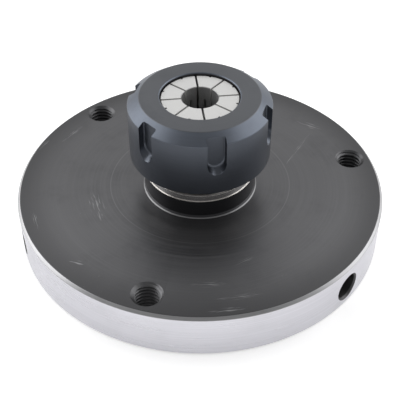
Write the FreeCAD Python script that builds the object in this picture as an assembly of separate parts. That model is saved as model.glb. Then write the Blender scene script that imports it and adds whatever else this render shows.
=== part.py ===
import FreeCAD, Part
import math
import os

# Collet chuck holder: a flange with a threaded nose, a slotted clamping nut
# and a spring collet.  Millimetres.  The origin is the centre of the
# flange's back face, +Z runs along the axis towards the nose, and +X passes
# through the first tapped hole.

# ---- flange ----
FLANGE_RADIUS = 66.6
FLANGE_THICKNESS = 17.7
FLANGE_FRONT_CHAMFER = 1.0
FLANGE_BACK_CHAMFER = 0.8
BACK_SEAT_WIDTH = 19.1          # from the register's wall to the rim
REGISTER_DEPTH = 4.0
BORE_RADIUS = 10.5
BORE_LENGTH = 8.0

# ---- tapped holes through the flange, M10 ----
TAPPED_COUNT = 3
TAPPED_RADIUS = 5.0
TAPPED_CHAMFER = 0.4
TAPPED_EDGE_DISTANCE = 8.1      # from the hole's axis to the rim

# ---- blind holes in the rim for a tightening bar ----
BAR_HOLE_COUNT = 3
BAR_HOLE_RADIUS = 4.7
BAR_HOLE_DEPTH = 16.0
BAR_HOLE_DROP = 0.75            # axis below the middle of the rim
BAR_HOLE_CLOCK = 65.5           # degrees from the first tapped hole

# ---- neck and threaded nose ----
NECK_RADIUS = 19.75
NECK_LENGTH = 7.2
NECK_ROOT_CHAMFER = 0.9
NOSE_RADIUS = 19.49             # pitch cylinder of the M40 x 1.5 thread
NOSE_CHAMFER = 1.0
NOSE_BELOW_GROOVE = 0.5         # nose end below the collet's groove
SOCKET_RELIEF = 3.0             # how far the taper runs on behind the collet

# ---- spring collet ----
COLLET_LENGTH = 40.0
COLLET_GRIP_RADIUS = 6.35
COLLET_LAND_RADIUS = 16.5
COLLET_LAND_WIDTH = 0.95
COLLET_CONE_LENGTH = 5.45
COLLET_GROOVE_DEPTH = 1.9
COLLET_GROOVE_WIDTH = 2.8
COLLET_TAPER_STEP = 0.05        # taper's largest radius below the land
FRONT_CONE_ANGLE = 30.0         # half angle
REAR_TAPER_ANGLE = 8.0          # half angle
SLOT_COUNT = 8                  # from each end
SLOT_WIDTH = 0.75
SLOT_CLOCK = -6.4
SLOT_WEB = 6.0                  # left uncut behind the front slots
SLOT_RIM_NOTCH = 0.6            # rear slots' notch in the rim of the face
SAW_RUNOUT = 5.2                # from a slot's end at the bore to its end outside

# ---- clamping nut ----
NUT_RADIUS = 25.0
NUT_LENGTH = 23.0
NUT_FRONT_OVERHANG = 0.9        # nut's face in front of the collet's
NUT_CHAMFER_WIDTH = 4.2
NUT_CHAMFER_HEIGHT = 3.0
NUT_OPENING_GAP = 0.45          # around the collet's face
NUT_OPENING_CHAMFER = 0.35
NUT_ENTRY_CHAMFER = 1.07
NUT_POCKET_GAP = 0.4            # around the collet's land
NUT_CLOCK = 30.0

# ---- eccentric lip inside the nut, which draws the collet by its groove ----
LIP_BITE = 1.2                  # overlap with the land at the near side
LIP_GAP = 0.5                   # clear of the land at the far side
LIP_REAR_CLEARANCE = 0.5
LIP_FRONT_CLEARANCE = 0.7

# ---- spanner slots in the nut ----
SPANNER_COUNT = 6
SPANNER_WIDTH = 6.5
SPANNER_DEPTH = 2.5
SPANNER_END = 7.8               # round end above the nut's rear face
SPANNER_TILT = 33.0             # mill's axis, degrees from level

# ---- fits ----
THREAD_CLEARANCE = 0.04
TAPER_CLEARANCE = 0.08
CUT_MARGIN = 1.0                # how far a cutter runs past the surface it cuts


def tan_deg(angle):
    return math.tan(math.radians(angle))


def cos_deg(angle):
    return math.cos(math.radians(angle))


# ---- heights along the axis ----
flange_front = FLANGE_THICKNESS
neck_end = flange_front + NECK_LENGTH
socket_end = REGISTER_DEPTH + BORE_LENGTH
collet_rear = socket_end + SOCKET_RELIEF
collet_face = collet_rear + COLLET_LENGTH
cone_base = collet_face - COLLET_CONE_LENGTH
groove_front = cone_base - COLLET_LAND_WIDTH
groove_rear = groove_front - COLLET_GROOVE_WIDTH
nose_end = groove_rear - NOSE_BELOW_GROOVE
nut_front = collet_face + NUT_FRONT_OVERHANG
nut_rear = nut_front - NUT_LENGTH
lip_rear = groove_rear + LIP_REAR_CLEARANCE
lip_front = groove_front - LIP_FRONT_CLEARANCE

# ---- radii that follow from others ----
collet_face_radius = COLLET_LAND_RADIUS - COLLET_CONE_LENGTH * tan_deg(FRONT_CONE_ANGLE)
collet_groove_radius = COLLET_LAND_RADIUS - COLLET_GROOVE_DEPTH
nut_thread_radius = NOSE_RADIUS + THREAD_CLEARANCE
lip_near = COLLET_LAND_RADIUS - LIP_BITE
lip_far = COLLET_LAND_RADIUS + LIP_GAP


def taper_radius(z):
    """Radius of the collet's rear taper at height z."""
    largest = COLLET_LAND_RADIUS - COLLET_TAPER_STEP
    return largest - (groove_rear - z) * tan_deg(REAR_TAPER_ANGLE)


def nut_cone_height(radius):
    """Height at which the nut's inside cone has the given radius."""
    radius_at_face = collet_face_radius + TAPER_CLEARANCE / cos_deg(FRONT_CONE_ANGLE)
    return collet_face - (radius - radius_at_face) / tan_deg(FRONT_CONE_ANGLE)


def point(radius, z):
    return FreeCAD.Vector(radius, 0, z)


def outline_wire(corners):
    """Closed wire in the XZ plane through (radius, z) corners, in order."""
    return Part.makePolygon([point(radius, z) for radius, z in corners + corners[:1]])


def turned(corners):
    """Solid of revolution about Z; corners holds its (radius, z) outline."""
    face = Part.Face(outline_wire(corners))
    return face.revolve(FreeCAD.Vector(0, 0, 0), FreeCAD.Vector(0, 0, 1), 360)


def around_axis(shape, count, clock):
    """Copies of shape spaced evenly about Z, the first turned by clock degrees."""
    copies = []
    for index in range(count):
        copy = shape.copy()
        copy.rotate(FreeCAD.Vector(0, 0, 0), FreeCAD.Vector(0, 0, 1), clock + index * 360.0 / count)
        copies.append(copy)
    return copies


def body_blank():
    """The turned body: register, flange, neck, nose, taper socket and bore."""
    register_radius = FLANGE_RADIUS - BACK_SEAT_WIDTH
    return turned([
        (BORE_RADIUS, REGISTER_DEPTH),
        (register_radius, REGISTER_DEPTH),
        (register_radius, 0),
        (FLANGE_RADIUS - FLANGE_BACK_CHAMFER, 0),
        (FLANGE_RADIUS, FLANGE_BACK_CHAMFER),
        (FLANGE_RADIUS, flange_front - FLANGE_FRONT_CHAMFER),
        (FLANGE_RADIUS - FLANGE_FRONT_CHAMFER, flange_front),
        (NECK_RADIUS + NECK_ROOT_CHAMFER, flange_front),
        (NECK_RADIUS, flange_front + NECK_ROOT_CHAMFER),
        (NECK_RADIUS, neck_end),
        (NOSE_RADIUS, neck_end),
        (NOSE_RADIUS, nose_end - NOSE_CHAMFER),
        (NOSE_RADIUS - NOSE_CHAMFER, nose_end),
        (taper_radius(nose_end) + TAPER_CLEARANCE, nose_end),
        (taper_radius(socket_end) + TAPER_CLEARANCE, socket_end),
        (BORE_RADIUS, socket_end),
    ])


def tapped_hole():
    """Cutter for one tapped hole, countersunk at the front, on the +X side."""
    cutter = turned([
        (0, -CUT_MARGIN),
        (TAPPED_RADIUS, -CUT_MARGIN),
        (TAPPED_RADIUS, flange_front - TAPPED_CHAMFER),
        (TAPPED_RADIUS + TAPPED_CHAMFER + CUT_MARGIN, flange_front + CUT_MARGIN),
        (0, flange_front + CUT_MARGIN),
    ])
    cutter.translate(FreeCAD.Vector(FLANGE_RADIUS - TAPPED_EDGE_DISTANCE, 0, 0))
    return cutter


def bar_hole():
    """Cutter for one blind hole in the rim, drilled inwards from the +X side."""
    bottom = FreeCAD.Vector(FLANGE_RADIUS - BAR_HOLE_DEPTH, 0, FLANGE_THICKNESS / 2 - BAR_HOLE_DROP)
    length = BAR_HOLE_DEPTH + CUT_MARGIN
    return Part.makeCylinder(BAR_HOLE_RADIUS, length, bottom, FreeCAD.Vector(1, 0, 0))


def chuck_body():
    """Flange, neck and nose in one piece, with its tapped and bar holes."""
    cutters = around_axis(tapped_hole(), TAPPED_COUNT, 0)
    cutters += around_axis(bar_hole(), BAR_HOLE_COUNT, BAR_HOLE_CLOCK)
    return body_blank().cut(cutters)


def nut_blank():
    """The turned nut, with a plain ring where its lip will be."""
    opening_radius = collet_face_radius + NUT_OPENING_GAP
    pocket_radius = COLLET_LAND_RADIUS + NUT_POCKET_GAP
    uncut_lip = lip_near - CUT_MARGIN
    return turned([
        (nut_thread_radius + NUT_ENTRY_CHAMFER, nut_rear),
        (NUT_RADIUS, nut_rear),
        (NUT_RADIUS, nut_front - NUT_CHAMFER_HEIGHT),
        (NUT_RADIUS - NUT_CHAMFER_WIDTH, nut_front),
        (opening_radius + NUT_OPENING_CHAMFER, nut_front),
        (opening_radius, nut_front - NUT_OPENING_CHAMFER),
        (opening_radius, nut_cone_height(opening_radius)),
        (pocket_radius, nut_cone_height(pocket_radius)),
        (pocket_radius, lip_front),
        (uncut_lip, lip_front),
        (uncut_lip, lip_rear),
        (nut_thread_radius, lip_rear),
        (nut_thread_radius, nut_rear + NUT_ENTRY_CHAMFER),
    ])


def lip_bore():
    """Cutter that bores the lip off centre, so that it bites on one side only."""
    middle = FreeCAD.Vector((lip_far - lip_near) / 2, 0, lip_rear)
    return Part.makeCylinder((lip_far + lip_near) / 2, lip_front - lip_rear, middle)


def spanner_slot():
    """Cutter for one spanner slot: an end mill, tilted, that runs down the nut.

    The tilt makes the slot's round end slope down and outwards from its floor.
    """
    half_width = SPANNER_WIDTH / 2
    travel = NUT_LENGTH
    mill = Part.makeCylinder(half_width, 2 * travel, FreeCAD.Vector(-travel, 0, 0), FreeCAD.Vector(1, 0, 0))
    path = Part.makeBox(2 * travel, SPANNER_WIDTH, travel, FreeCAD.Vector(-travel, -half_width, 0))
    milled = mill.fuse(path)
    milled.rotate(FreeCAD.Vector(0, 0, 0), FreeCAD.Vector(0, 1, 0), SPANNER_TILT)
    axis_at_mouth = nut_rear + SPANNER_END + half_width / cos_deg(SPANNER_TILT)
    milled.translate(FreeCAD.Vector(NUT_RADIUS, 0, axis_at_mouth))
    outside_floor = Part.makeBox(
        SPANNER_DEPTH + CUT_MARGIN,
        SPANNER_WIDTH + 2 * CUT_MARGIN,
        NUT_LENGTH + CUT_MARGIN,
        FreeCAD.Vector(NUT_RADIUS - SPANNER_DEPTH, -half_width - CUT_MARGIN, nut_rear),
    )
    return milled.common(outside_floor)


def clamping_nut():
    """Turned ring with an inside cone, an eccentric lip and spanner slots."""
    cutters = [lip_bore()] + around_axis(spanner_slot(), SPANNER_COUNT, NUT_CLOCK)
    return nut_blank().cut(cutters)


def collet_blank():
    """The turned collet, before it is sawn."""
    return turned([
        (COLLET_GRIP_RADIUS, collet_face),
        (collet_face_radius, collet_face),
        (COLLET_LAND_RADIUS, cone_base),
        (COLLET_LAND_RADIUS, groove_front),
        (collet_groove_radius, groove_front),
        (collet_groove_radius, groove_rear),
        (taper_radius(groove_rear), groove_rear),
        (taper_radius(collet_rear), collet_rear),
        (COLLET_GRIP_RADIUS, collet_rear),
    ])


def saw_cut(corners):
    """Cutter for one saw cut on the +X side; corners holds its (radius, z) outline."""
    side = Part.Face(outline_wire(corners))
    side.translate(FreeCAD.Vector(0, -SLOT_WIDTH / 2, 0))
    return side.extrude(FreeCAD.Vector(0, SLOT_WIDTH, 0))


def front_saw_cut():
    """Cut that opens the collet's face and stops short of its rear end."""
    outside = COLLET_LAND_RADIUS + CUT_MARGIN
    rim_end = collet_rear + SLOT_WEB
    return saw_cut([
        (0, collet_face + CUT_MARGIN),
        (0, rim_end + SAW_RUNOUT),
        (COLLET_GRIP_RADIUS, rim_end + SAW_RUNOUT),
        (taper_radius(rim_end), rim_end),
        (outside, rim_end),
        (outside, collet_face + CUT_MARGIN),
    ])


def rear_saw_cut():
    """Cut that opens the collet's rear end and just nicks the rim of its face."""
    outside = COLLET_LAND_RADIUS + CUT_MARGIN
    return saw_cut([
        (0, collet_rear - CUT_MARGIN),
        (0, collet_face - SAW_RUNOUT),
        (COLLET_GRIP_RADIUS, collet_face - SAW_RUNOUT),
        (collet_face_radius - SLOT_RIM_NOTCH, collet_face),
        (outside, collet_face),
        (outside, collet_rear - CUT_MARGIN),
    ])


def collet():
    """Turned collet, sawn from both ends by turns so that it can close evenly."""
    cutters = around_axis(front_saw_cut(), SLOT_COUNT, SLOT_CLOCK)
    cutters += around_axis(rear_saw_cut(), SLOT_COUNT, SLOT_CLOCK + 180.0 / SLOT_COUNT)
    return collet_blank().cut(cutters)


NODES = {
    "chuck_body": chuck_body,
    "clamping_nut": clamping_nut,
    "collet": collet,
}

os.makedirs("parts", exist_ok=True)
for name, build in NODES.items():
    shape = build()
    shape.exportStep(os.path.join("parts", name + ".step"))
    print(name, "valid", shape.isValid(), "solids", len(shape.Solids), "volume", round(shape.Volume, 1))
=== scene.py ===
import logging
import math
from dataclasses import dataclass, field
from enum import Enum, IntEnum
from typing import Callable, ClassVar, Optional, Sequence, Union

import bpy
import numpy as np
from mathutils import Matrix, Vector


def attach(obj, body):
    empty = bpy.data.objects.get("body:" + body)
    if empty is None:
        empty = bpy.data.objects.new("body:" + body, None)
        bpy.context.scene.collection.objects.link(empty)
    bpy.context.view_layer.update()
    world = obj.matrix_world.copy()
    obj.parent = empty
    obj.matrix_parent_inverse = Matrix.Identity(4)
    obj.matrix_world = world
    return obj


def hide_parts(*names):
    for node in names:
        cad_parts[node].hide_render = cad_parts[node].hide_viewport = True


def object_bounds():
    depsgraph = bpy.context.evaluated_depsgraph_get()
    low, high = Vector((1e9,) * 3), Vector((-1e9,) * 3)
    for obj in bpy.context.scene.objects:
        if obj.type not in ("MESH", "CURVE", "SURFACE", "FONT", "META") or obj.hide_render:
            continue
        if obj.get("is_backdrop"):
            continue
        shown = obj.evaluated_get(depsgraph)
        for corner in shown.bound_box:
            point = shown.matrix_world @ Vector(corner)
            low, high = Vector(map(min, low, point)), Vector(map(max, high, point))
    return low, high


# Looks of a collet chuck holder: a flanged body with a threaded nose, a
# slotted clamping nut and a sawn spring collet.  Metres, in the frame of the
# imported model: origin at the centre of the flange's back face, +Z along the
# axis towards the nose, +X through the first tapped hole.

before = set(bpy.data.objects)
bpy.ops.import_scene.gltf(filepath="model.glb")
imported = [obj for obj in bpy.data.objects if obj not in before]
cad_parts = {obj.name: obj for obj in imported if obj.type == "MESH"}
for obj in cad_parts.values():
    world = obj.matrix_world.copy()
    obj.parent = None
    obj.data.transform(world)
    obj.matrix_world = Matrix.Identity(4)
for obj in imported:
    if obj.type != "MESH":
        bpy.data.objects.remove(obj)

log = logging.getLogger("collet_chuck")

MM = 0.001
FULL_TURN = 2.0 * math.pi
SMOOTH_ANGLE = math.radians(6.5)
ACROSS_THE_MARKS = 0.25
SEGMENTS = 192
HOLE_SEGMENTS = 64
ROUNDING_STEPS = 6
ROWS_IN_A_PITCH = 10

Colour = tuple[float, float, float]
Socket = bpy.types.NodeSocket
Field = Union[Socket, float]


# ---------------------------------------------------------------------------
# Surfaces
# ---------------------------------------------------------------------------


@dataclass
class Surface:
    """A closed surface: its points, its four-sided faces and their zones.

    Fields:
        points: (n, 3) positions in metres.
        quads: (m, 4) point numbers, anticlockwise seen from outside.
        zones: (m,) material zone of each face.
        caps: rings of point numbers, each closed by one flat face.
        cap_zone: material zone of the caps.
    """

    points: np.ndarray
    quads: np.ndarray
    zones: np.ndarray
    caps: tuple[np.ndarray, ...] = ()
    cap_zone: int = 0

    def moved(self, matrix: np.ndarray, shift: Sequence[float] = (0.0, 0.0, 0.0)) -> "Surface":
        """The surface after a rotation matrix (3, 3) and then a shift in metres."""
        points = self.points @ matrix.T + np.asarray(shift)
        return Surface(points, self.quads, self.zones, self.caps, self.cap_zone)


def about_z(angle: float) -> np.ndarray:
    """Rotation matrix about Z by an angle in radians."""
    c, s = math.cos(angle), math.sin(angle)
    return np.array([[c, -s, 0.0], [s, c, 0.0], [0.0, 0.0, 1.0]])


def about_y(angle: float) -> np.ndarray:
    """Rotation matrix about Y by an angle in radians."""
    c, s = math.cos(angle), math.sin(angle)
    return np.array([[c, 0.0, s], [0.0, 1.0, 0.0], [-s, 0.0, c]])


def around(surface: Surface, count: int, clock: float) -> list[Surface]:
    """Copies of a surface spaced evenly about Z.

    Args:
        surface: the surface on the +X side.
        count: how many copies.
        clock: turn of the first copy, in degrees.

    Returns:
        The turned copies.
    """
    turns = np.radians(clock) + FULL_TURN * np.arange(count) / count
    return [surface.moved(about_z(turn)) for turn in turns]


def joined(surfaces: Sequence[Surface]) -> Surface:
    """Several separate surfaces as one.

    Args:
        surfaces: the surfaces, which don't touch.

    Returns:
        All of them, with their point numbers shifted to match.
    """
    starts = np.cumsum([0] + [len(s.points) for s in surfaces[:-1]])
    caps = tuple(cap + start for s, start in zip(surfaces, starts) for cap in s.caps)
    return Surface(
        np.concatenate([s.points for s in surfaces]),
        np.concatenate([s.quads + start for s, start in zip(surfaces, starts)]),
        np.concatenate([s.zones for s in surfaces]),
        caps,
        surfaces[0].cap_zone,
    )


@dataclass
class Outline:
    """A turned outline in the (radius, height) plane, with a zone for each stretch."""

    points: np.ndarray
    zones: np.ndarray

    def then(self, other: "Outline") -> "Outline":
        """This outline with another one after it."""
        return Outline(
            np.concatenate([self.points, other.points]),
            np.concatenate([self.zones, other.zones]),
        )


def rounded(corners: Sequence[tuple[float, float, float, int]], steps: int = ROUNDING_STEPS) -> Outline:
    """Outline through corners in millimetres, each rounded by a small curve.

    A corner c with neighbours a and b becomes the quadratic curve
    (1-t)^2 p + 2t(1-t) c + t^2 q, where p and q lie on the lines to a and b
    at the rounding's length from c, or half-way there if that is nearer.

    Args:
        corners: (radius, height, rounding, zone), the zone being that of the
            stretch that starts at the corner.
        steps: points on each rounding.

    Returns:
        The outline, in metres, without repeated points.
    """
    table = np.array(corners, dtype=float)
    here = table[:, :2]
    before, after = np.roll(here, 1, axis=0) - here, np.roll(here, -1, axis=0) - here
    size = table[:, 2:3]

    def reach(way: np.ndarray) -> np.ndarray:
        """Where the rounding starts on the way to a neighbour."""
        length = np.linalg.norm(way, axis=1, keepdims=True)
        return here + way / length * np.minimum(size, 0.49 * length)

    t = np.linspace(0.0, 1.0, steps)[None, :, None]
    start, end = reach(before)[:, None], reach(after)[:, None]
    curve = (1 - t) ** 2 * start + 2 * t * (1 - t) * here[:, None] + t**2 * end
    points = curve.reshape(-1, 2)
    zones = np.repeat(table[:, 3].astype(int), steps)
    fresh = np.linalg.norm(points - np.roll(points, 1, axis=0), axis=1) > 1e-5
    return Outline(points[fresh] * MM, zones[fresh])


def straight(start: tuple[float, float], end: tuple[float, float], rows: int, zone: int) -> Outline:
    """A straight stretch in millimetres, divided evenly into rows of one zone."""
    points = np.linspace(start, end, rows)
    return Outline(points * MM, np.full(rows, zone))


RadiusRule = Callable[[np.ndarray, np.ndarray, np.ndarray, np.ndarray], np.ndarray]


def spun(outline: Outline, segments: int, rule: Optional[RadiusRule]) -> tuple[np.ndarray, np.ndarray]:
    """Carries an outline round the Z axis.

    The point at outline row i and angle a is (r cos a, r sin a, z), with
    (r, z) the outline's point, or with r from the rule where one is given.

    Args:
        outline: the outline, clear of the axis.
        segments: how many steps there are in a full turn.
        rule: gives the radius from grids of radius, height, angle and zone.

    Returns:
        (rows, segments, 3) positions and (rows, segments) zones.
    """
    turn = np.arange(segments)[None, :] * FULL_TURN / segments
    angle = np.repeat(turn, len(outline.points), axis=0)
    radius = np.repeat(outline.points[:, :1], segments, axis=1)
    height = np.repeat(outline.points[:, 1:], segments, axis=1)
    zone = np.repeat(outline.zones[:, None], segments, axis=1)
    if rule is not None:
        radius = rule(radius, height, angle, zone)
    return np.stack([radius * np.cos(angle), radius * np.sin(angle), height], axis=-1), zone


def turned(outline: Outline, segments: int, rule: Optional[RadiusRule] = None) -> Surface:
    """Closed ring-shaped surface of a closed outline.

    Args:
        outline: closed outline, clear of the axis, in either direction.
        segments: how many steps there are in a full turn.
        rule: gives the radius from grids of radius, height, angle and zone.

    Returns:
        The ring, with its faces outwards.
    """
    points, zones = outline.points, outline.zones
    after = np.roll(points, -1, axis=0)
    if np.sum(points[:, 0] * after[:, 1] - after[:, 0] * points[:, 1]) < 0:
        outline = Outline(points[::-1], np.roll(zones[::-1], -1))
    place, zone = spun(outline, segments, rule)
    number = np.arange(zone.size).reshape(zone.shape)
    beside = np.roll(number, -1, axis=1)
    above = np.roll(number, -1, axis=0)
    quads = np.stack([number, beside, np.roll(above, -1, axis=1), above], axis=-1)
    return Surface(place.reshape(-1, 3), quads.reshape(-1, 4), zone.reshape(-1))


def plug(place: np.ndarray, zone: np.ndarray, cap_zone: int) -> Surface:
    """Closed surface of rings stacked upwards, with a flat face at each end.

    Args:
        place: (rows, n, 3) positions.
        zone: (rows, n) material zones of the faces above each row.
        cap_zone: material zone of the two end faces.

    Returns:
        The plug, with its faces outwards.
    """
    number = np.arange(zone.size).reshape(zone.shape)
    beside = np.roll(number, -1, axis=1)
    quads = np.stack([number[:-1], beside[:-1], beside[1:], number[1:]], axis=-1)
    caps = (number[0][::-1].copy(), number[-1].copy())
    return Surface(place.reshape(-1, 3), quads.reshape(-1, 4), zone[:-1].reshape(-1), caps, cap_zone)


def slab(outline: np.ndarray, width: float, zone: int) -> Surface:
    """A flat plate of even thickness, from a closed outline in the XZ plane.

    Args:
        outline: (n, 2) corners (x, z) in metres, anticlockwise seen from -Y.
        width: thickness along Y, in metres.
        zone: material zone of every face.

    Returns:
        The closed plate, centred on the XZ plane.
    """
    count = len(outline)
    near = np.stack([outline[:, 0], np.full(count, -width / 2), outline[:, 1]], axis=-1)
    far = near + np.array([0.0, width, 0.0])
    number = np.arange(count)
    after = np.roll(number, -1)
    quads = np.stack([after, number, number + count, after + count], axis=-1)
    caps = (number.copy(), (number + count)[::-1].copy())
    return Surface(np.concatenate([near, far]), quads, np.full(count, zone), caps, zone)


def as_object(name: str, surface: Surface) -> bpy.types.Object:
    """Puts a surface into a new mesh object at the origin.

    Args:
        name: the object's name.
        surface: the surface, in metres in the part's frame.

    Returns:
        The new object, linked to the scene.
    """
    mesh = bpy.data.meshes.new(name)
    sides = [4] * len(surface.quads) + [len(cap) for cap in surface.caps]
    loops = np.concatenate([surface.quads.reshape(-1), *surface.caps]).astype(np.int32)
    starts = np.concatenate([[0], np.cumsum(sides)[:-1]]).astype(np.int32)
    zones = np.concatenate([surface.zones, np.full(len(surface.caps), surface.cap_zone)])
    mesh.vertices.add(len(surface.points))
    mesh.vertices.foreach_set("co", surface.points.astype(np.float32).reshape(-1))
    mesh.loops.add(len(loops))
    mesh.loops.foreach_set("vertex_index", loops)
    mesh.polygons.add(len(sides))
    mesh.polygons.foreach_set("loop_start", starts)
    mesh.polygons.foreach_set("material_index", zones.astype(np.int32))
    mesh.update(calc_edges=True)
    mesh.validate()
    piece = bpy.data.objects.new(name, mesh)
    bpy.context.scene.collection.objects.link(piece)
    return piece


def cut(piece: bpy.types.Object, cutters: Surface) -> None:
    """Takes cutters out of a piece for good; the cut faces keep the cutters' zones.

    Args:
        piece: the object to cut.
        cutters: closed surfaces that don't touch each other.
    """
    tool = as_object(piece.name + "_cutter", cutters)
    tool.data.materials.clear()
    for material in piece.data.materials:
        tool.data.materials.append(material)
    modifier = piece.modifiers.new("cut", "BOOLEAN")
    modifier.operation = "DIFFERENCE"
    modifier.solver = "EXACT"
    modifier.object = tool
    graph = bpy.context.evaluated_depsgraph_get()
    finished = bpy.data.meshes.new_from_object(piece.evaluated_get(graph))
    blank = piece.data
    piece.modifiers.clear()
    piece.data = finished
    finished.name = piece.name
    bpy.data.meshes.remove(blank)
    bpy.data.meshes.remove(tool.data)


def smooth(piece: bpy.types.Object) -> None:
    """Shades a piece smooth, with hard edges where its faces meet at an angle."""
    mesh = piece.data
    mesh.polygons.foreach_set("use_smooth", np.ones(len(mesh.polygons), dtype=bool))
    mesh.set_sharp_from_angle(angle=SMOOTH_ANGLE)
    mesh.update()


# ---------------------------------------------------------------------------
# Threads
# ---------------------------------------------------------------------------


@dataclass(frozen=True)
class Thread:
    """A right-hand thread of 60 degrees with flat crests and roots, in millimetres.

    Fields:
        crest: radius of the tips, on a screw the largest and in a hole the smallest.
        pitch: rise in one turn.
        inward: True for a thread in a hole.
    """

    crest: float
    pitch: float = 1.5
    inward: bool = False
    tip: ClassVar[float] = 1 / 16
    groove: ClassVar[float] = 3 / 8

    @property
    def depth(self) -> float:
        """Depth of the thread: five eighths of the height of its sharp 60 degree triangle."""
        return 0.625 * math.sqrt(3.0) / 2.0 * self.pitch

    def ridge(self, height: np.ndarray, angle: np.ndarray) -> np.ndarray:
        """Share of the depth, 0 in the groove and 1 on the ridge, of a screw's thread.

        The distance along Z from the nearest ridge, in pitches, is
        d = |frac(z / pitch - angle / turn + 1/2) - 1/2|. The ridge's flat tip
        reaches to d = 1/16 and the groove's flat bottom starts at d = 3/8,
        and the flank between them is straight.

        Args:
            height: heights in metres.
            angle: angles in radians.

        Returns:
            The share at each point.
        """
        turns = height / (self.pitch * MM) - angle / FULL_TURN
        distance = np.abs((turns + 0.5) % 1.0 - 0.5)
        return np.clip((self.groove - distance) / (self.groove - self.tip), 0.0, 1.0)

    def radius(self, height: np.ndarray, angle: np.ndarray) -> np.ndarray:
        """Radius in metres of the thread's surface at the given heights and angles."""
        ridge = self.ridge(height, angle)
        if self.inward:
            return (self.crest + self.depth * ridge) * MM
        return (self.crest - self.depth * (1.0 - ridge)) * MM


# ---------------------------------------------------------------------------
# Finishes
# ---------------------------------------------------------------------------


class Graph:
    """A material's nodes, with short calls for those that the finishes share."""

    def __init__(self, name: str) -> None:
        """Makes an empty material.

        Args:
            name: the material's name.
        """
        self.material = bpy.data.materials.new(name)
        self.material.use_nodes = True
        self.tree = self.material.node_tree
        self.tree.nodes.clear()
        self.place = self.add("ShaderNodeTexCoord").outputs["Object"]

    def add(self, kind: str, **settings: object) -> bpy.types.Node:
        """A new node with the given settings."""
        node = self.tree.nodes.new(kind)
        for name, value in settings.items():
            setattr(node, name, value)
        return node

    def feed(self, socket: Socket, value: object) -> None:
        """Links a socket to an input, or sets the input's own value."""
        if isinstance(value, bpy.types.NodeSocket):
            self.tree.links.new(value, socket)
        else:
            socket.default_value = value

    def maths(self, operation: str, *values: Field) -> Socket:
        """Result of a Math node."""
        node = self.add("ShaderNodeMath", operation=operation)
        for socket, value in zip(node.inputs, values):
            self.feed(socket, value)
        return node.outputs[0]

    def times(self, first: Field, second: Field) -> Socket:
        """Product of two fields."""
        return self.maths("MULTIPLY", first, second)

    def plus(self, first: Field, second: Field) -> Socket:
        """Sum of two fields."""
        return self.maths("ADD", first, second)

    def ramp(self, value: Field, low: float, high: float) -> Socket:
        """A field eased from 0 at low to 1 at high."""
        node = self.add("ShaderNodeMapRange", interpolation_type="SMOOTHSTEP")
        for socket, item in zip(node.inputs, (value, low, high, 0.0, 1.0)):
            self.feed(socket, item)
        return node.outputs[0]

    def band(self, value: Field, low: float, high: float, edge: float) -> Socket:
        """A field that is 1 between two values.

        Args:
            value: the field to test.
            low: lower end.
            high: upper end.
            edge: distance outside the ends over which it fades to 0.

        Returns:
            The band's field.
        """
        rise = self.ramp(value, low - edge, low)
        fall = self.ramp(value, high + edge, high)
        return self.times(rise, fall)

    def split(self) -> tuple[Socket, Socket, Socket]:
        """Object coordinates x, y and z."""
        node = self.add("ShaderNodeSeparateXYZ")
        self.feed(node.inputs[0], self.place)
        return node.outputs[0], node.outputs[1], node.outputs[2]

    def radius(self) -> Socket:
        """Distance from the Z axis, in metres."""
        x, y, _ = self.split()
        return self.maths("SQRT", self.plus(self.times(x, x), self.times(y, y)))

    def angle(self) -> Socket:
        """Angle about the Z axis from +X, in radians."""
        x, y, _ = self.split()
        return self.maths("ARCTAN2", y, x)

    def vector(self, x: Field, y: Field, z: Field) -> Socket:
        """A vector from three fields."""
        node = self.add("ShaderNodeCombineXYZ")
        for socket, value in zip(node.inputs, (x, y, z)):
            self.feed(socket, value)
        return node.outputs[0]

    def noise(self, vector: Socket, scale: float, detail: float = 2.0, rough: float = 0.5) -> Socket:
        """A noise field.

        Args:
            vector: where it is read.
            scale: waves in a unit of length.
            detail: how many finer layers it has.
            rough: how strong the finer layers are.

        Returns:
            The field, from 0 to 1 and at most places near a half.
        """
        node = self.add("ShaderNodeTexNoise")
        self.feed(node.inputs["Vector"], vector)
        node.inputs["Scale"].default_value = scale
        node.inputs["Detail"].default_value = detail
        node.inputs["Roughness"].default_value = rough
        return node.outputs["Fac"]

    def mix(self, factor: Field, first: object, second: object) -> Socket:
        """Mix of two colours.

        Args:
            factor: share of the second one.
            first: a colour or a socket.
            second: a colour or a socket.

        Returns:
            The mixed colour.
        """
        node = self.add("ShaderNodeMix", data_type="RGBA")
        self.feed(node.inputs["Factor"], factor)
        for name, value in (("A", first), ("B", second)):
            socket = next(s for s in node.inputs if s.name == name and s.type == "RGBA")
            self.feed(socket, (*value, 1.0) if isinstance(value, tuple) else value)
        return next(s for s in node.outputs if s.type == "RGBA")

    def output(self, shader: Socket) -> None:
        """Ends the material with a surface shader."""
        self.tree.links.new(shader, self.add("ShaderNodeOutputMaterial").inputs["Surface"])


class Lay(Enum):
    """Which way a tool's marks run."""

    RINGS = "rings about the axis, side by side on a face"
    HOOPS = "hoops about the axis, one above another on a wall"
    GRAIN = "no direction"


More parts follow.
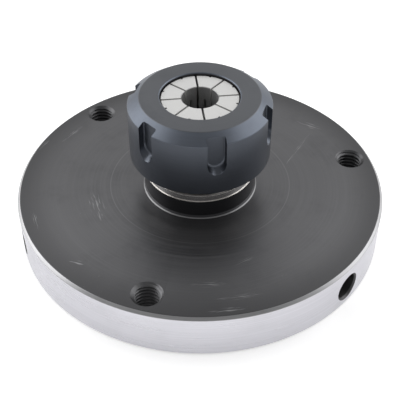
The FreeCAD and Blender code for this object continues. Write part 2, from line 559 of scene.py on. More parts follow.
@dataclass(frozen=True)
class Steel:
    """A steel finish with a tool's marks, stains and a small spread of tone.

    Fields:
        name: the material's name.
        colour: base colour.
        stain: colour of the stains.
        staining: how far the stains go, 0 to 1.
        metallic: share of metal in the reflection.
        roughness: middle roughness.
        spread: how far the roughness and tone vary along the marks.
        lay: which way the marks run.
        marks: marks in a metre across their run.
        bump: height of the marks, in metres.
        anisotropy: how far the marks stretch a highlight.
    """

    name: str
    colour: Colour
    stain: Colour
    staining: float = 0.2
    metallic: float = 1.0
    roughness: float = 0.35
    spread: float = 0.06
    lay: Lay = Lay.HOOPS
    marks: float = 2500.0
    bump: float = 4e-6
    anisotropy: float = 0.0
    along_the_marks: ClassVar[float] = 0.012
    stains_in_a_metre: ClassVar[float] = 70.0
    smears_in_a_metre: ClassVar[float] = 45.0

    def marks_field(self, graph: Graph) -> Socket:
        """Noise drawn out along the tool's marks, from 0 to 1.

        The noise reads (c, x s, y s), where c is the coordinate across the
        marks times their density and s is small, so it changes quickly from
        mark to mark and slowly along each one.

        Args:
            graph: the material's graph.

        Returns:
            The noise.
        """
        if self.lay is Lay.GRAIN:
            return graph.noise(graph.place, self.marks, 3.0, 0.6)
        x, y, z = graph.split()
        across = graph.radius() if self.lay is Lay.RINGS else z
        slow = self.marks * self.along_the_marks
        vector = graph.vector(
            graph.times(across, self.marks), graph.times(x, slow), graph.times(y, slow)
        )
        return graph.noise(vector, 1.0, 3.0, 0.65)

    def tone(self, graph: Graph, marks: Socket) -> Socket:
        """Base colour over the surface: tone along the marks, and soft stains.

        Args:
            graph: the material's graph.
            marks: the tool's marks.

        Returns:
            The colour.
        """
        stains = graph.ramp(graph.noise(graph.place, self.stains_in_a_metre, 4.0, 0.6), 0.45, 0.75)
        stained = graph.mix(graph.times(stains, self.staining), self.colour, self.stain)
        light = tuple(min(1.0, c * (1.0 + 2.0 * self.spread)) for c in self.colour)
        share = graph.times(graph.ramp(marks, 0.35, 0.75), 0.48)
        return graph.mix(share, stained, light)

    def roughness_field(self, graph: Graph, marks: Socket) -> Socket:
        """Roughness over the surface, from the marks and from broad smears.

        Args:
            graph: the material's graph.
            marks: the tool's marks.

        Returns:
            The roughness.
        """
        smears = graph.noise(graph.place, self.smears_in_a_metre, 3.0, 0.6)
        fine = graph.times(graph.plus(marks, -0.5), 2.0 * self.spread)
        broad = graph.times(graph.plus(smears, -0.5), 1.2 * self.spread)
        return graph.maths("ADD", graph.plus(fine, broad), self.roughness)

    def material(self) -> bpy.types.Material:
        """Builds the material.

        Returns:
            The new material.
        """
        graph = Graph(self.name)
        marks = self.marks_field(graph)
        shader = graph.add("ShaderNodeBsdfPrincipled")
        graph.feed(shader.inputs["Base Color"], self.tone(graph, marks))
        graph.feed(shader.inputs["Roughness"], self.roughness_field(graph, marks))
        shader.inputs["Metallic"].default_value = self.metallic
        if self.anisotropy > 0.0:
            shader.inputs["Anisotropic"].default_value = self.anisotropy
            shader.inputs["Anisotropic Rotation"].default_value = ACROSS_THE_MARKS
            tangent = graph.add("ShaderNodeTangent", direction_type="RADIAL", axis="Z")
            graph.feed(shader.inputs["Tangent"], tangent.outputs[0])
        bump = graph.add("ShaderNodeBump")
        bump.inputs["Strength"].default_value = 1.0
        bump.inputs["Distance"].default_value = self.bump
        graph.feed(bump.inputs["Height"], marks)
        graph.feed(shader.inputs["Normal"], bump.outputs[0])
        graph.output(shader.outputs[0])
        return graph.material


@dataclass(frozen=True)
class Scrape:
    """A patch of fine scratches on the flange's face, in millimetres.

    Fields:
        x, y: its middle.
        run: direction of its scratches, in degrees from +X.
        length: its size along them.
        width: its size across them.
        share: how much lighter the scratches are than the face, 0 to 1.
        fine: scratches in a millimetre across.
    """

    x: float
    y: float
    run: float
    length: float
    width: float
    share: float = 0.5
    fine: float = 3.0

    def field(self, graph: Graph) -> Socket:
        """Strength of the scratches: drawn-out noise that fades out towards the patch's edge.

        With u and v the distances along and across the scratches as shares
        of half the patch, the fade runs over sqrt(u^2 + v^2) from 0.6 to 1.

        Args:
            graph: the material's graph.

        Returns:
            The strength, 0 outside the patch.
        """
        x, y, _ = graph.split()
        turn = math.radians(self.run)
        c, s = math.cos(turn) / MM, math.sin(turn) / MM
        along_middle = self.x * math.cos(turn) + self.y * math.sin(turn)
        across_middle = self.y * math.cos(turn) - self.x * math.sin(turn)
        along = graph.plus(graph.plus(graph.times(x, c), graph.times(y, s)), -along_middle)
        across = graph.plus(graph.plus(graph.times(y, c), graph.times(x, -s)), -across_middle)
        u, v = graph.times(along, 2.0 / self.length), graph.times(across, 2.0 / self.width)
        reach = graph.maths("SQRT", graph.plus(graph.times(u, u), graph.times(v, v)))
        lines = graph.vector(graph.times(along, 0.12), graph.times(across, self.fine), 0.0)
        drawn = graph.ramp(graph.noise(lines, 1.0, 2.0, 0.6), 0.50, 0.66)
        return graph.times(graph.times(drawn, graph.ramp(reach, 1.0, 0.6)), self.share)


@dataclass(frozen=True)
class WornFace(Steel):
    """The flange's face: turned in steps, darker towards its rim, scratched and flecked.

    Fields:
        line: radius of the fine bright line left by the tool, in metres.
        step: radius where the finer turning round the neck ends, in metres.
        fade_start: radius where the face starts to darken, in metres.
        fade_end: radius of the rim, in metres.
        scratched: colour of the scratches.
        scrapes: the patches of scratches.
    """

    line: float = 0.0328
    step: float = 0.0391
    fade_start: float = 0.052
    fade_end: float = 0.0666
    scratched: Colour = (0.42, 0.42, 0.43)
    scrapes: tuple[Scrape, ...] = (
        # x, y, run, length, width, share, fine
        Scrape(-39.0, -5.0, 95.0, 18.0, 6.0, 0.45, 1.4),
        Scrape(-42.5, 39.5, 44.0, 14.0, 2.0, 0.6),
        Scrape(-54.0, 35.0, 50.0, 9.0, 1.6, 0.4),
        Scrape(-61.0, -8.0, 97.0, 10.0, 2.4, 0.4),
        Scrape(-49.5, -31.5, -30.0, 6.0, 2.4, 0.6, 1.6),
        Scrape(-9.0, -51.0, -10.0, 13.0, 3.2, 0.6, 2.4),
        Scrape(-0.5, -58.5, -3.0, 17.0, 2.6, 0.5),
        Scrape(-6.0, -63.2, -5.0, 13.0, 2.4, 0.6, 1.8),
        Scrape(5.0, -43.5, 20.0, 9.0, 2.4, 0.45),
        Scrape(50.0, 24.0, -40.0, 12.0, 4.5, 0.45, 1.4),
        Scrape(41.0, 10.0, 48.0, 24.0, 1.6, 0.4),
    )

    def tone(self, graph: Graph, marks: Socket) -> Socket:
        """Base colour: the plain finish, then the rim's shade, the line, flecks and scratches."""
        radius = graph.radius()
        dark = tuple(0.62 * c for c in self.colour)
        faded = graph.times(graph.ramp(radius, self.fade_start, self.fade_end), 0.9)
        shade = graph.mix(faded, super().tone(graph, marks), dark)
        fleck = graph.ramp(graph.noise(graph.place, 1500.0, 2.0, 0.6), 0.74, 0.82)
        worn = graph.times(fleck, 0.4)
        worn = graph.maths("MAXIMUM", worn, graph.times(
            graph.band(radius, self.line, self.line + 0.15 * MM, 0.15 * MM), 0.12
        ))
        for scrape in self.scrapes:
            worn = graph.maths("MAXIMUM", worn, scrape.field(graph))
        return graph.mix(worn, shade, self.scratched)

    def roughness_field(self, graph: Graph, marks: Socket) -> Socket:
        """Roughness: the plain finish, and coarser outside the step."""
        coarse = graph.times(graph.ramp(graph.radius(), self.step, self.step + 0.3 * MM), 0.05)
        return graph.plus(super().roughness_field(graph, marks), coarse)


# ---------------------------------------------------------------------------
# Pieces
# ---------------------------------------------------------------------------


class Piece:
    """A turned piece of the tool, built in place of the CAD node of its name.

    Class fields:
        node: name of the node, and of its body.
        slot: the record's material slot.
    """

    node: ClassVar[str]
    slot: ClassVar[str]

    def blank(self) -> Surface:
        """The turned form, before anything is cut into it."""
        raise NotImplementedError

    def cutters(self) -> list[Surface]:
        """What is drilled, milled and sawn out of the blank."""
        raise NotImplementedError

    def finishes(self) -> list[Steel]:
        """Finishes of the zones, in slot order."""
        raise NotImplementedError

    def build(self) -> bpy.types.Object:
        """Builds and dresses the piece.

        Returns:
            The finished piece, riding on its body.
        """
        piece = as_object(self.node + "_dressed", self.blank())
        for finish in self.finishes():
            piece.data.materials.append(finish.material())
        cut(piece, joined(self.cutters()))
        smooth(piece)
        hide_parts(self.node)
        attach(piece, self.node)
        log.info("%s: %d faces", piece.name, len(piece.data.polygons))
        return piece


# ---------------------------------------------------------------------------
# Chuck body
# ---------------------------------------------------------------------------


class BodyZone(IntEnum):
    """Zones of the body, in the order of its material slots."""

    FACE = 0
    RIM = 1
    CHAMFER = 2
    NECK = 3
    BAND = 4
    THREAD = 5
    SOCKET = 6
    BACK = 7
    HOLE = 8
    ROOT = 9


@dataclass
class ChuckBody(Piece):
    """The flange, neck and nose in one piece, in millimetres, with its holes.

    The sizes are those of the solid, with its small edge breaks, the nose
    thread and the threads of the tapped holes added.
    """

    node: ClassVar[str] = "chuck_body"
    slot: ClassVar[str] = "blackened_flange_steel"
    flange_radius: float = 66.6
    flange_thickness: float = 17.7
    front_chamfer: float = 1.0
    back_chamfer: float = 0.8
    register_radius: float = 47.5
    register_depth: float = 4.0
    bore_radius: float = 10.5
    socket_end: float = 12.0
    neck_radius: float = 19.75
    neck_end: float = 24.9
    neck_root: float = 0.9
    # Width of the root fillet's lighter stretch, which is partly bare metal and partly a painted
    # highlight.
    root_highlight: float = 0.4
    band_radius: float = 19.49
    band_end: float = 27.2
    runout_width: float = 0.4
    nose_end: float = 45.3
    nose_chamfer: float = 1.0
    socket_mouth: float = 16.46
    socket_bottom: float = 11.78
    tapped_count: int = 3
    tapped_ring: float = 58.5
    tapped_countersink: float = 5.4
    bar_count: int = 3
    bar_clock: float = 65.5
    bar_radius: float = 4.7
    bar_depth: float = 16.0
    bar_height: float = 8.1
    bar_chamfer: float = 0.75
    drill_half_angle: float = 59.0
    cut_reach: float = 2.0
    segments: int = SEGMENTS
    nose_thread: Thread = field(default_factory=lambda: Thread(crest=19.93))
    hole_thread: Thread = field(default_factory=lambda: Thread(crest=4.2, inward=True))

    def outline(self) -> Outline:
        """The turned outline, from the bore round the back, rim, front and nose."""
        zone = BodyZone
        root = self.nose_thread.crest - self.nose_thread.depth
        thread_start = self.band_end + self.runout_width
        first = rounded([
            (self.bore_radius, self.socket_end, 0.1, zone.SOCKET),
            (self.bore_radius, self.register_depth + 0.6, 0.1, zone.SOCKET),
            (self.bore_radius + 0.6, self.register_depth, 0.1, zone.BACK),
            (self.register_radius, self.register_depth, 0.4, zone.BACK),
            (self.register_radius, 0.5, 0.1, zone.BACK),
            (self.register_radius + 0.5, 0.0, 0.1, zone.BACK),
            (self.flange_radius - self.back_chamfer, 0.0, 0.1, zone.CHAMFER),
            (self.flange_radius, self.back_chamfer, 0.12, zone.RIM),
            (self.flange_radius, self.flange_thickness - self.front_chamfer, 0.12, zone.CHAMFER),
            (self.flange_radius - self.front_chamfer, self.flange_thickness, 0.15, zone.FACE),
            # The root fillet's stretch is painted a lighter grey: partly bare metal, partly a painted
            # highlight of the fillet.
            (self.neck_radius + self.neck_root, self.flange_thickness, 0.1, zone.ROOT),
            (
                self.neck_radius + self.neck_root - self.root_highlight,
                self.flange_thickness + self.root_highlight,
                0.1,
                zone.NECK,
            ),
            (self.neck_radius, self.flange_thickness + self.neck_root, 0.1, zone.NECK),
            (self.neck_radius, self.neck_end, 0.08, zone.BAND),
            (self.band_radius, self.neck_end, 0.0, zone.BAND),
            (self.band_radius, self.band_end, 0.08, zone.BAND),
            (root, self.band_end + 0.15, 0.08, zone.THREAD),
            (root, thread_start, 0.0, zone.THREAD),
            (root - 0.2, self.nose_end, 0.0, zone.THREAD),
            (self.socket_mouth, self.nose_end, 0.2, zone.SOCKET),
            (self.socket_bottom, self.socket_end, 0.2, zone.SOCKET),
        ])
        at = int(np.argmax(
            (first.zones == zone.THREAD)
            & (np.abs(first.points[:, 1] - thread_start * MM) < 1e-7)
        )) + 1
        rows = int((self.nose_end - thread_start) / self.nose_thread.pitch * ROWS_IN_A_PITCH)
        nose = straight((root, thread_start + 0.1), (root, self.nose_end), rows, zone.THREAD)
        last = Outline(first.points[at:], first.zones[at:])
        return Outline(first.points[:at], first.zones[:at]).then(nose).then(last)

    def nose_rule(
        self, radius: np.ndarray, height: np.ndarray, angle: np.ndarray, zone: np.ndarray
    ) -> np.ndarray:
        """Raises the nose thread's ridges, from nothing at their start, under the chamfer.

        Args:
            radius: grid of the outline's radii.
            height: grid of heights.
            angle: grid of angles.
            zone: grid of zones.

        Returns:
            The grid of radii.
        """
        root = (self.nose_thread.crest - self.nose_thread.depth) * MM
        start = (self.band_end + self.runout_width) * MM
        grown = np.clip((height - start) / (0.5 * MM), 0.0, 1.0)
        ridge = root + (self.nose_thread.radius(height, angle) - root) * grown
        under = (self.nose_thread.crest - self.nose_chamfer) * MM + self.nose_end * MM - height
        on_nose = (zone == BodyZone.THREAD) & (radius > root - 0.1 * MM) & (height >= start)
        return np.where(on_nose, np.minimum(ridge, under), radius)

    def tapped_hole(self) -> Surface:
        """Threaded cutter, wider at both ends for the countersinks, on the +X side."""
        wide, reach = self.tapped_countersink, 0.6
        rows = int((self.flange_thickness + 2 * reach) / self.hole_thread.pitch * ROWS_IN_A_PITCH)
        wall = straight(
            (self.hole_thread.crest, -reach),
            (self.hole_thread.crest, self.flange_thickness + reach),
            rows,
            BodyZone.HOLE,
        )

        def rule(
            radius: np.ndarray, height: np.ndarray, angle: np.ndarray, zone: np.ndarray
        ) -> np.ndarray:
            """Thread, opened out by a 90 degree countersink at each face."""
            above = wide * MM + (height - self.flange_thickness * MM)
            below = wide * MM - height
            thread = self.hole_thread.radius(height, angle)
            return np.maximum(thread, np.maximum(above, below))

        hole = plug(*spun(wall, HOLE_SEGMENTS, rule), BodyZone.HOLE)
        return hole.moved(np.eye(3), (self.tapped_ring * MM, 0.0, 0.0))

    def bar_hole(self) -> Surface:
        """Drill-shaped cutter with a broken edge, into the rim on the +X side."""
        point = self.bar_radius / math.tan(math.radians(self.drill_half_angle))
        mouth = self.bar_radius + self.bar_chamfer
        outline = rounded([
            (0.05, -self.bar_depth - point, 0.0, BodyZone.HOLE),
            (self.bar_radius, -self.bar_depth, 0.1, BodyZone.HOLE),
            (self.bar_radius, -self.bar_chamfer, 0.1, BodyZone.CHAMFER),
            (mouth + self.cut_reach, self.cut_reach, 0.0, BodyZone.CHAMFER),
        ])
        drill = plug(*spun(outline, HOLE_SEGMENTS, None), BodyZone.HOLE)
        drill = drill.moved(about_y(math.pi / 2))
        return drill.moved(np.eye(3), (self.flange_radius * MM, 0.0, self.bar_height * MM))

    def finishes(self) -> list[Steel]:
        """Finishes of the zones, in slot order."""
        black, deep = (0.125, 0.125, 0.13), (0.07, 0.07, 0.075)
        bright = (0.69, 0.685, 0.73)
        return [
            WornFace(
                "faced_black", black, deep, staining=0.35, metallic=0.9, roughness=0.36, spread=0.10,
                lay=Lay.RINGS, marks=1500.0, bump=3e-6, anisotropy=0.45,
            ),
            Steel(
                "ground_rim", bright, (0.5, 0.5, 0.52), roughness=0.30, spread=0.10, marks=2200.0,
                bump=3e-6, anisotropy=0.5,
            ),
            Steel(
                "edge_break", (0.42, 0.42, 0.43), (0.2, 0.2, 0.2), staining=0.3, spread=0.08, marks=2000.0,
            ),
            Steel(
                "turned_black_neck", (0.035, 0.035, 0.038), (0.02, 0.02, 0.02), staining=0.3, metallic=0.7,
                spread=0.08,
            ),
            Steel(
                "turned_band", (0.75, 0.73, 0.71), (0.5, 0.48, 0.46), roughness=0.24, spread=0.05,
                marks=3000.0, bump=1e-6,
            ),
            Steel(
                "cut_thread", (0.35, 0.34, 0.33), (0.12, 0.12, 0.12), staining=0.4, roughness=0.32,
                spread=0.08, marks=3000.0,
            ),
            Steel("ground_socket", (0.5, 0.5, 0.5), (0.3, 0.3, 0.3), roughness=0.28, marks=3500.0),
            Steel(
                "faced_back", (0.5, 0.5, 0.51), (0.3, 0.3, 0.3), staining=0.3, roughness=0.36, spread=0.10,
                lay=Lay.RINGS, marks=1500.0, bump=3e-6, anisotropy=0.5,
            ),
            Steel(
                "tapped_wall", (0.10, 0.10, 0.105), (0.04, 0.04, 0.04), staining=0.4, metallic=0.9,
                roughness=0.38, spread=0.08, lay=Lay.GRAIN, marks=1500.0,
            ),
            # Root fillet: a lighter grey that is partly bare metal and partly a painted highlight.
            Steel(
                "turned_root_painted_highlight", (0.20, 0.20, 0.205), (0.1, 0.1, 0.1), metallic=0.9, roughness=0.34,
                marks=3000.0,
            ),
        ]

    def blank(self) -> Surface:
        """The flange, neck and threaded nose."""
        return turned(self.outline(), self.segments, self.nose_rule)

    def cutters(self) -> list[Surface]:
        """The tapped holes and the bar holes."""
        holes = around(self.tapped_hole(), self.tapped_count, 0.0)
        return holes + around(self.bar_hole(), self.bar_count, self.bar_clock)


# ---------------------------------------------------------------------------
# Clamping nut
# ---------------------------------------------------------------------------


class NutZone(IntEnum):
    """Zones of the nut, in the order of its material slots."""

    SIDE = 0
    TOP = 1
    CHAMFER = 2
    INSIDE = 3
    SLOT = 4
    THREAD = 5


@dataclass
class ClampingNut(Piece):
    """The clamping nut, in millimetres, with its slots, lip and thread."""

    node: ClassVar[str] = "clamping_nut"
    slot: ClassVar[str] = "blackened_nut_steel"
    rear: float = 32.9
    front: float = 55.9
    radius: float = 25.0
    chamfer_width: float = 4.2
    chamfer_height: float = 3.0
    opening_radius: float = 13.803
    opening_chamfer: float = 0.35
    cone_front: float = 54.38
    cone_rear: float = 49.02
    pocket_radius: float = 16.9
    lip_front: float = 47.9
    lip_rear: float = 46.3
    lip_near: float = 15.3
    lip_far: float = 17.0
    relief_radius: float = 20.4
    relief_width: float = 2.0
    entry_radius: float = 20.6
    slot_count: int = 6
    slot_clock: float = 30.0
    slot_width: float = 6.5
    slot_depth: float = 2.5
    slot_end: float = 7.8
    slot_tilt: float = 33.0
    slot_fillet: float = 0.5
    slot_reach: float = 28.0
    slot_clear: float = 1.5
    segments: int = SEGMENTS
    thread: Thread = field(default_factory=lambda: Thread(crest=19.218, inward=True))

    def outline(self) -> Outline:
        """The turned outline, from the entry round the outside to the thread."""
        zone = NutZone
        root = self.thread.crest + self.thread.depth
        relief_rear = self.lip_rear - self.relief_width
        shell = rounded([
            (self.entry_radius, self.rear, 0.1, zone.SIDE),
            (self.radius, self.rear, 0.4, zone.SIDE),
            (self.radius, self.front - self.chamfer_height, 0.25, zone.CHAMFER),
            (self.radius - self.chamfer_width, self.front, 0.25, zone.TOP),
            (self.opening_radius + self.opening_chamfer, self.front, 0.1, zone.CHAMFER),
            (self.opening_radius, self.front - self.opening_chamfer, 0.1, zone.INSIDE),
            (self.opening_radius, self.cone_front, 0.1, zone.INSIDE),
            (self.pocket_radius, self.cone_rear, 0.1, zone.INSIDE),
            (self.pocket_radius, self.lip_front, 0.1, zone.INSIDE),
            (self.lip_near, self.lip_front, 0.1, zone.INSIDE),
            (self.lip_near, self.lip_rear, 0.1, zone.INSIDE),
            (self.relief_radius, self.lip_rear, 0.2, zone.INSIDE),
            (self.relief_radius, relief_rear, 0.2, zone.THREAD),
            (root, relief_rear - 0.2, 0.0, zone.THREAD),
        ])
        rows = int((relief_rear - self.rear) / self.thread.pitch * ROWS_IN_A_PITCH)
        wall = straight((root, relief_rear - 0.3), (root, self.rear + 0.02), rows, zone.THREAD)
        return shell.then(wall)

    def inside_rule(
        self, radius: np.ndarray, height: np.ndarray, angle: np.ndarray, zone: np.ndarray
    ) -> np.ndarray:
        """Cuts the thread and bores the lip off centre.

        The lip's edge is a circle of radius R about a point e from the axis,
        at radius e cos a + sqrt(R^2 - e^2 sin^2 a), and no wider than the pocket.
        The thread is opened out by the entry chamfer.

        Args:
            radius: grid of the outline's radii.
            height: grid of heights.
            angle: grid of angles.
            zone: grid of zones.

        Returns:
            The grid of radii.
        """
        root = (self.thread.crest + self.thread.depth) * MM
        entry = self.entry_radius * MM - (height - self.rear * MM)
        thread = np.clip(self.thread.radius(height, angle), entry, self.relief_radius * MM)
        on_wall = (zone == NutZone.THREAD) & (np.abs(radius - root) < 0.01 * MM)
        offset = (self.lip_far - self.lip_near) / 2 * MM
        circle = (self.lip_far + self.lip_near) / 2 * MM
        edge = offset * np.cos(angle) + np.sqrt(circle**2 - (offset * np.sin(angle)) ** 2)
        edge = np.minimum(edge, (self.pocket_radius - 0.01) * MM)
        between = (height > (self.lip_rear - 0.01) * MM) & (height < (self.lip_front + 0.01) * MM)
        on_lip = between & (radius < (self.lip_near + 0.2) * MM)
        lip = edge + radius - self.lip_near * MM
        return np.where(on_wall, thread, np.where(on_lip, lip, radius))

    def spanner_slot(self) -> Surface:
        """Cutter for a spanner slot, on the +X side.

        The mill's section, square to its tilted axis, is a half circle of
        radius w with straight sides above it: (y, v) = (w sin a, -w cos a),
        then up. Each point is carried along the axis m = (cos t, 0, -sin t)
        to its depth below the nut's wall. Near the floor the section shrinks
        by R - sqrt(R^2 - s^2), which rounds the floor's corner.
        """
        tilt = math.radians(self.slot_tilt)
        half = self.slot_width / 2
        turn = np.linspace(-np.pi / 2, np.pi / 2, 33)
        across = np.concatenate([[-half], half * np.sin(turn), [half]]) / half
        along = np.concatenate([[self.slot_reach], -half * np.cos(turn), [self.slot_reach]])
        floor = self.radius - self.slot_depth
        curve = np.linspace(0.0, 1.0, ROUNDING_STEPS)
        depths = np.concatenate([floor + self.slot_fillet * curve, [self.radius + self.slot_clear]])
        shrink = np.concatenate([
            self.slot_fillet * (1.0 - np.sqrt(1.0 - (1.0 - curve) ** 2)), [0.0]
        ])
        width = half - shrink[:, None]
        section_y = across[None, :] * width
        section_v = np.where(along < 0.0, along / half, 0.0)[None, :] * width + np.maximum(along, 0.0)
        mouth = self.rear + self.slot_end + half / math.cos(tilt)
        travel = (depths[:, None] - self.radius - section_v * math.sin(tilt)) / math.cos(tilt)
        x = self.radius + section_v * math.sin(tilt) + travel * math.cos(tilt)
        z = mouth + section_v * math.cos(tilt) - travel * math.sin(tilt)
        place = np.stack([x, section_y, z], axis=-1) * MM
        return plug(place, np.full(x.shape, NutZone.SLOT), NutZone.SLOT)

    def finishes(self) -> list[Steel]:
        """Finishes of the zones, in slot order."""
        blue, deep = (0.098, 0.108, 0.128), (0.045, 0.05, 0.06)
        return [
            Steel("blued_side", blue, deep, staining=0.25, metallic=0.85, roughness=0.34),
            Steel(
                "blued_top", (0.11, 0.115, 0.125), deep, staining=0.25, metallic=0.8, roughness=0.42,
                lay=Lay.RINGS, bump=3e-6, anisotropy=0.3,
            ),
            # The chamfers are a lighter, bluer copy of the blued finish: a painted sheen standing for the
            # lamps' reflection.
            Steel("blued_chamfer_painted_sheen", (0.125, 0.14, 0.168), deep, metallic=0.9, roughness=0.40),
            Steel("blued_inside", (0.05, 0.05, 0.055), deep, metallic=0.8),
            Steel(
                "milled_slot", (0.09, 0.10, 0.12), deep, metallic=0.9, roughness=0.32, spread=0.08,
                lay=Lay.GRAIN, marks=1800.0,
            ),
            Steel("cut_nut_thread", (0.10, 0.10, 0.11), deep, staining=0.3, metallic=0.9),
        ]

    def blank(self) -> Surface:
        """The ring, with its thread and lip."""
        return turned(self.outline(), self.segments, self.inside_rule)

    def cutters(self) -> list[Surface]:
        """The spanner slots."""
        return around(self.spanner_slot(), self.slot_count, self.slot_clock)


# ---------------------------------------------------------------------------
# Spring collet
# ---------------------------------------------------------------------------


class ColletZone(IntEnum):
    """Zones of the collet, in the order of its material slots."""

    FACE = 0
    CONE = 1
    BORE = 2
    SAWN = 3


@dataclass
class SpringCollet(Piece):
    """The sawn spring collet, in millimetres."""

    node: ClassVar[str] = "collet"
    slot: ClassVar[str] = "ground_collet_steel"
    rear: float = 15.0
    face: float = 55.0
    grip_radius: float = 6.35
    face_radius: float = 13.353
    land_radius: float = 16.5
    cone_base: float = 49.55
    groove_front: float = 48.6
    groove_rear: float = 45.8
    groove_radius: float = 14.6
    taper_front_radius: float = 16.45
    taper_angle: float = 8.0
    saw_count: int = 8
    saw_width: float = 0.75
    saw_clock: float = -6.4
    saw_web: float = 6.0
    saw_runout: float = 5.2
    saw_radius: float = 22.0
    rim_notch: float = 0.6
    segments: int = SEGMENTS

    def taper_radius(self, height: float) -> float:
        """Radius of the long taper at a height."""
        return self.taper_front_radius - (self.groove_rear - height) * math.tan(
            math.radians(self.taper_angle)
        )

    def outline(self) -> Outline:
        """The turned outline, from the bore's rear end round the outside to its face."""
        zone = ColletZone
        return rounded([
            (self.grip_radius, self.rear, 0.25, zone.FACE),
            (self.taper_radius(self.rear), self.rear, 0.5, zone.CONE),
            (self.taper_radius(self.groove_rear), self.groove_rear, 0.15, zone.CONE),
            (self.groove_radius, self.groove_rear, 0.3, zone.CONE),
            (self.groove_radius, self.groove_front, 0.3, zone.CONE),
            (self.land_radius, self.groove_front, 0.15, zone.CONE),
            (self.land_radius, self.cone_base, 0.15, zone.CONE),
            (self.face_radius, self.face, 0.2, zone.FACE),
            (self.grip_radius, self.face, 0.3, zone.BORE),
        ])

    def runout(self, outer: tuple[float, float], inner: tuple[float, float]) -> np.ndarray:
        """Arc that the saw leaves between two points of the (radius, height) plane.

        The centre lies on the chord's perpendicular, at the distance
        sqrt(R^2 - (chord / 2)^2), on the side of the open end of the cut.

        Args:
            outer: where the arc meets the outside.
            inner: where it meets the bore.

        Returns:
            (n, 2) points from outer to inner.
        """
        start, end = np.array(outer), np.array(inner)
        chord = end - start
        length = np.linalg.norm(chord)
        square = np.array([-chord[1], chord[0]]) / length
        square = square * np.sign(square[0])
        centre = (start + end) / 2 + square * math.sqrt(self.saw_radius**2 - length**2 / 4)
        first, last = (math.atan2(*(p - centre)[::-1]) for p in (start, end))
        sweep = (last - first + np.pi) % FULL_TURN - np.pi
        angle = first + sweep * np.linspace(0.0, 1.0, 12)
        return centre + self.saw_radius * np.stack([np.cos(angle), np.sin(angle)], axis=-1)

    def front_cut(self) -> Surface:
        """Saw cut that opens the face, on the +X side."""
        web = self.rear + self.saw_web
        inner, outer, top = 3.0, self.land_radius + 1.0, self.face + 1.0
        arc = self.runout((self.taper_radius(web), web), (self.grip_radius, web + self.saw_runout))
        ends = np.array([
            [outer, web], [outer, top], [inner, top], [inner, web + self.saw_runout + 2.0]
        ])
        return slab(np.concatenate([ends, arc[::-1]]) * MM, self.saw_width * MM, ColletZone.SAWN)

    def rear_cut(self) -> Surface:
        """Saw cut that opens the rear end and nicks the rim of the face, on the +X side."""
        inner, outer, bottom = 3.0, self.land_radius + 1.0, self.rear - 1.0
        arc = self.runout(
            (self.face_radius - self.rim_notch, self.face), (self.grip_radius, self.face - self.saw_runout)
        )
        ends = np.array([
            [inner, self.face - self.saw_runout - 2.0], [inner, bottom], [outer, bottom],
            [outer, self.face + 0.5], [self.face_radius - self.rim_notch, self.face + 0.5],
        ])
        return slab(np.concatenate([ends, arc]) * MM, self.saw_width * MM, ColletZone.SAWN)

    def finishes(self) -> list[Steel]:
        """Finishes of the zones, in slot order."""
        return [
            Steel(
                "ground_face", (0.66, 0.66, 0.65), (0.52, 0.52, 0.52), staining=0.25, metallic=0.55,
                roughness=0.40, spread=0.05, lay=Lay.GRAIN, marks=3000.0, bump=3e-6,
            ),
            Steel(
                "ground_cone", (0.6, 0.6, 0.6), (0.4, 0.4, 0.4), roughness=0.28, marks=3500.0, bump=3e-6,
                anisotropy=0.4,
            ),
            Steel("ground_bore", (0.42, 0.42, 0.42), (0.3, 0.3, 0.3), metallic=0.7, marks=3500.0),
            Steel(
                "sawn_wall", (0.05, 0.05, 0.05), (0.03, 0.03, 0.03), staining=0.4, metallic=0.8,
                roughness=0.5, spread=0.08, lay=Lay.GRAIN,
            ),
        ]

    def blank(self) -> Surface:
        """The collet before it is sawn."""
        return turned(self.outline(), self.segments)

    def cutters(self) -> list[Surface]:
        """The saw cuts from the front, and those from the rear half-way between them."""
        half_step = 180.0 / self.saw_count
        cuts = around(self.front_cut(), self.saw_count, self.saw_clock)
        return cuts + around(self.rear_cut(), self.saw_count, self.saw_clock + half_step)


# ---------------------------------------------------------------------------
# Studio
# ---------------------------------------------------------------------------


def bearing(azimuth: float, elevation: float) -> Vector:
    """Direction from the part towards a place round it.

    Args:
        azimuth: degrees about Z; 0 is on the -Y side and 90 on the +X side.
        elevation: degrees above the floor.

    Returns:
        The unit vector (sin a cos e, -cos a cos e, sin e).
    """
    a, e = math.radians(azimuth), math.radians(elevation)
    return Vector((math.sin(a) * math.cos(e), -math.cos(a) * math.cos(e), math.sin(e)))


@dataclass(frozen=True)
class Lamp:
    """A soft square lamp that faces the part.

    Fields:
        name: the lamp's name.
        azimuth: its bearing from the camera's, in degrees.
        elevation: its height as an angle, in degrees.
        distance: its distance, in metres.
        width: its side, in metres.
        power: its power, in watts.
    """

    name: str
    azimuth: float
    elevation: float
    distance: float
    width: float
    power: float

    def build(self, camera_azimuth: float) -> None:
        """Adds the lamp to the scene.

        Args:
            camera_azimuth: the camera's bearing, in degrees.
        """
        light = bpy.data.lights.new(self.name, "AREA")
        light.size = self.width
        light.energy = self.power
        lamp = bpy.data.objects.new(self.name, light)
        way = bearing(camera_azimuth + self.azimuth, self.elevation)
        lamp.location = way * self.distance
        lamp.rotation_mode = "QUATERNION"
        lamp.rotation_quaternion = (-way).to_track_quat("-Z", "Y")
        bpy.context.scene.collection.objects.link(lamp)


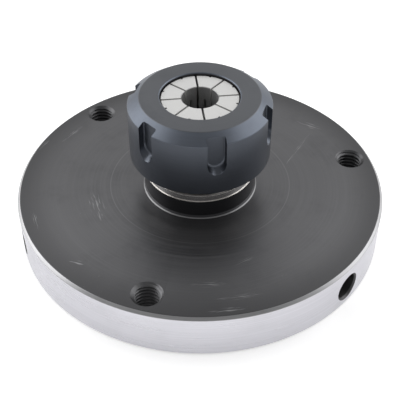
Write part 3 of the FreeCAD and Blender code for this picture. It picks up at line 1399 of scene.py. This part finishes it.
@dataclass
class Studio:
    """The floor, the light and the camera."""

    floor_half: float = 1.5
    floor_tone: float = 0.8
    glow_seen: float = 0.5
    glow_mirrored: float = 0.33
    camera_azimuth: float = -13.1
    camera_elevation: float = 41.42
    camera_distance: float = 0.3224
    camera_height: float = 0.00839
    lens: float = 77.08
    sensor: float = 36.0
    near_clip: float = 0.01
    far_clip: float = 20.0
    sky_near: float = 0.35
    sky_far: float = 0.9
    sky_fade: tuple[float, float] = (-0.2, 0.6)
    lamps: tuple[Lamp, ...] = (
        Lamp("lamp_left", -105.0, 32.0, 1.2, 1.2, 8.5),
        Lamp("lamp_right", 105.0, 32.0, 1.2, 1.2, 7.0),
    )

    def camera(self) -> None:
        """Adds the camera, aimed at a point on the axis."""
        data = bpy.data.cameras.new("camera")
        data.sensor_width = self.sensor
        data.lens = self.lens
        data.clip_start, data.clip_end = self.near_clip, self.far_clip
        camera = bpy.data.objects.new("camera", data)
        back = bearing(self.camera_azimuth, self.camera_elevation)
        camera.location = Vector((0.0, 0.0, self.camera_height)) + back * self.camera_distance
        camera.rotation_mode = "QUATERNION"
        camera.rotation_quaternion = (-back).to_track_quat("-Z", "Y")
        bpy.context.scene.collection.objects.link(camera)
        bpy.context.scene.camera = camera

    def floor(self) -> None:
        """Adds the floor: pale, and white to the camera and in the metal but for the shadow."""
        half = self.floor_half
        mesh = bpy.data.meshes.new("floor")
        corners = [(-half, -half, 0.0), (half, -half, 0.0), (half, half, 0.0), (-half, half, 0.0)]
        mesh.from_pydata(corners, [], [(0, 1, 2, 3)])
        floor = bpy.data.objects.new("floor", mesh)
        bpy.context.scene.collection.objects.link(floor)
        graph = Graph("pale_floor")
        tone = (self.floor_tone,) * 3 + (1.0,)
        matt = graph.add("ShaderNodeBsdfDiffuse")
        matt.inputs["Color"].default_value = tone
        glow = graph.add("ShaderNodeEmission")
        seen = graph.add("ShaderNodeLightPath")
        to_camera = graph.times(seen.outputs["Is Camera Ray"], self.glow_seen)
        to_metal = graph.times(seen.outputs["Is Glossy Ray"], self.glow_mirrored)
        graph.feed(glow.inputs["Strength"], graph.plus(to_camera, to_metal))
        both = graph.add("ShaderNodeAddShader")
        graph.feed(both.inputs[0], matt.outputs[0])
        graph.feed(both.inputs[1], glow.outputs[0])
        graph.output(both.outputs[0])
        mesh.materials.append(graph.material)
        floor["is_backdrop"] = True

    def world(self) -> None:
        """Sets the sky: white, brighter behind the part, and full where the camera sees it."""
        world = bpy.data.worlds.new("studio")
        world.use_nodes = True
        tree = world.node_tree
        sky = next(n for n in tree.nodes if n.type == "BACKGROUND")
        sky.inputs["Color"].default_value = (1.0, 1.0, 1.0, 1.0)
        way = tree.nodes.new("ShaderNodeTexCoord")
        behind = tree.nodes.new("ShaderNodeVectorMath")
        behind.operation = "DOT_PRODUCT"
        behind.inputs[1].default_value = bearing(self.camera_azimuth + 180.0, 0.0)
        fade = tree.nodes.new("ShaderNodeMapRange")
        fade.interpolation_type = "SMOOTHSTEP"
        settings = (*self.sky_fade, self.sky_near, self.sky_far)
        for name, value in zip(("From Min", "From Max", "To Min", "To Max"), settings):
            fade.inputs[name].default_value = value
        seen = tree.nodes.new("ShaderNodeLightPath")
        strength = tree.nodes.new("ShaderNodeMath")
        strength.operation = "MAXIMUM"
        tree.links.new(way.outputs["Generated"], behind.inputs[0])
        tree.links.new(behind.outputs["Value"], fade.inputs["Value"])
        tree.links.new(fade.outputs[0], strength.inputs[0])
        tree.links.new(seen.outputs["Is Camera Ray"], strength.inputs[1])
        tree.links.new(strength.outputs[0], sky.inputs["Strength"])
        bpy.context.scene.world = world

    def build(self) -> None:
        """Adds the camera, the floor and the light."""
        self.camera()
        self.floor()
        self.world()
        for lamp in self.lamps:
            lamp.build(self.camera_azimuth)
        bpy.context.scene.view_settings.view_transform = "Standard"
        log.info("studio: %d lamps", len(self.lamps))


def corners() -> list[list[float]]:
    """Lowest and highest corner of what is shown, as plain lists."""
    return [list(corner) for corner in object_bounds()]


def main() -> None:
    """Builds the part's pieces and the studio."""
    logging.basicConfig(level=logging.INFO, format="%(name)s %(message)s")
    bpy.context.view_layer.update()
    for piece in (ChuckBody(), ClampingNut(), SpringCollet()):
        piece.build()
    Studio().build()


if __name__ == "__main__":
    main()
